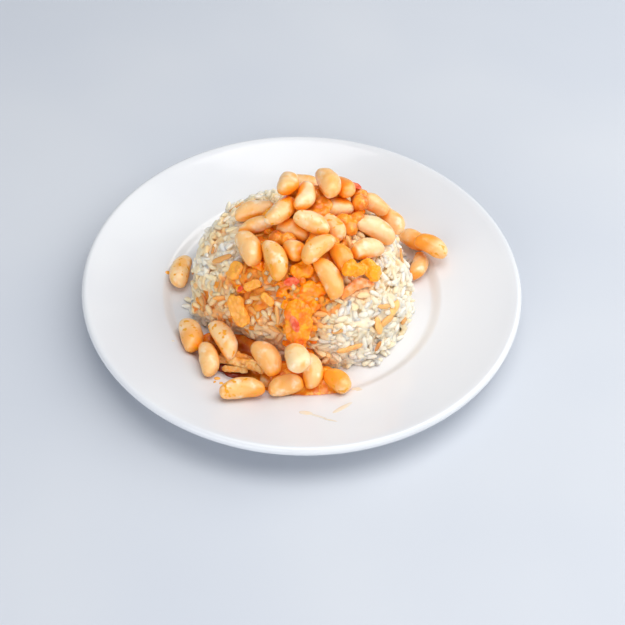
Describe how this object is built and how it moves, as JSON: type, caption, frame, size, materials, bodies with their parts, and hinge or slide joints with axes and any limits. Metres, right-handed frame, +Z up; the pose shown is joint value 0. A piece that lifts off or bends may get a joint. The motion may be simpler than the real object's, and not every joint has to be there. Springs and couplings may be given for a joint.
{
  "type": "rice and beans plate",
  "caption": "Moulded dome of white rice on a round white dinner plate, topped with white beans stewed in tomato sauce.",
  "frame": {"origin": "middle of the plate's foot ring, on the surface that it stands on", "axes": "+Z up out of the plate, -Y towards the diner, +X to the diner's right"},
  "size_m": [0.2398, 0.2398, 0.0786],
  "materials": {
    "glazed_porcelain": "clear gloss glaze over white porcelain",
    "cooked_rice": "moist cooked grains, satin",
    "boiled_bean": "smooth wet skin under thin sauce, semi-gloss",
    "stewed_tomato": "wet pulp, glossy",
    "stewed_onion": "soft translucent shred, glossy"
  },
  "bodies": {
    "root": {"bean_back_01": "boiled_bean", "bean_back_02": "boiled_bean", "bean_back_03": "boiled_bean", "bean_back_04": "boiled_bean", "bean_back_05": "boiled_bean", "bean_back_06": "boiled_bean", "bean_crown_01": "boiled_bean", "bean_crown_02": "boiled_bean", "bean_crown_03": "boiled_bean", "bean_crown_04": "boiled_bean", "bean_crown_05": "boiled_bean", "bean_crown_06": "boiled_bean", "bean_crown_07": "boiled_bean", "bean_crown_08": "boiled_bean", "bean_crown_09": "boiled_bean", "bean_crown_10": "boiled_bean", "bean_crown_11": "boiled_bean", "bean_crown_12": "boiled_bean", "bean_crown_13": "boiled_bean", "bean_crown_14": "boiled_bean", "bean_crown_15": "boiled_bean", "bean_crown_16": "boiled_bean", "bean_crown_17": "boiled_bean", "bean_crown_18": "boiled_bean", "bean_crown_19": "boiled_bean", "bean_crown_20": "boiled_bean", "bean_crown_21": "boiled_bean", "bean_crown_22": "boiled_bean", "bean_foot_01": "boiled_bean", "bean_foot_02": "boiled_bean", "bean_foot_03": "boiled_bean", "bean_foot_04": "boiled_bean", "bean_foot_05": "boiled_bean", "bean_foot_06": "boiled_bean", "bean_foot_07": "boiled_bean", "bean_foot_08": "boiled_bean", "bean_foot_09": "boiled_bean", "bean_foot_10": "boiled_bean", "bean_side_01": "boiled_bean", "bean_side_02": "boiled_bean", "bean_side_03": "boiled_bean", "bean_side_04": "boiled_bean", "onion_shred": "stewed_onion", "onion_slice": "stewed_onion", "plate": "glazed_porcelain", "rice_mound": "cooked_rice", "tomato_chunk_1": "stewed_tomato", "tomato_chunk_2": "stewed_tomato", "tomato_chunk_3": "stewed_tomato", "tomato_pulp": "stewed_tomato"}
  },
  "joints": []
}
